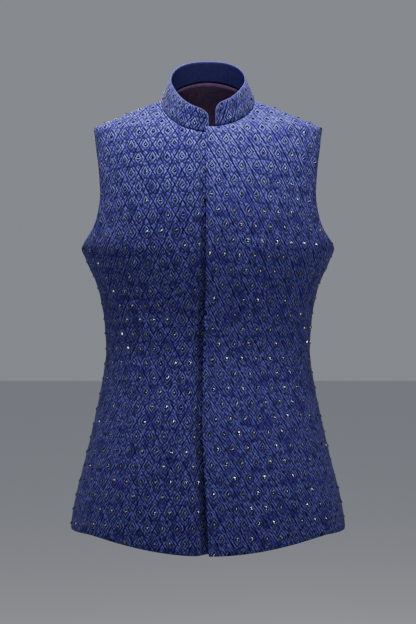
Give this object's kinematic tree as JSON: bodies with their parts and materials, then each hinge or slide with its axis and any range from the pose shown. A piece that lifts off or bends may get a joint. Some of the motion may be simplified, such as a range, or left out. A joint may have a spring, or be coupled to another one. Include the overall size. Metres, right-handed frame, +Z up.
{
  "type": "waistcoat",
  "caption": "Sleeveless waistcoat with a stand collar, one front lapped over the other, and a flared hem, in the hollow shape it has when worn.",
  "frame": {"origin": "midway between the two points where the shoulder seams meet the collar, where the wearer's shoulders hold the waistcoat", "axes": "+Z up; -Y is the way the front faces; +X is the wearer's left"},
  "size_m": [0.437, 0.2494, 0.7794],
  "materials": {
    "embroidered_cloth": "soft periwinkle blue cloth with dark lattice embroidery and small sequins",
    "facing_cloth": "plain matt navy cloth",
    "piping_cord": "smooth light blue cord",
    "lining_cloth": "smooth dark plum lining",
    "stud_metal": "dark satin metal"
  },
  "bodies": {
    "root": {"front_left": "embroidered_cloth", "front_right": "embroidered_cloth", "back": "embroidered_cloth", "collar": "embroidered_cloth", "collar_facing": "facing_cloth", "collar_piping": "piping_cord", "lining_back": "lining_cloth", "press_stud_1": "stud_metal", "press_stud_2": "stud_metal", "press_stud_3": "stud_metal", "press_stud_4": "stud_metal", "press_stud_5": "stud_metal"}
  },
  "joints": []
}
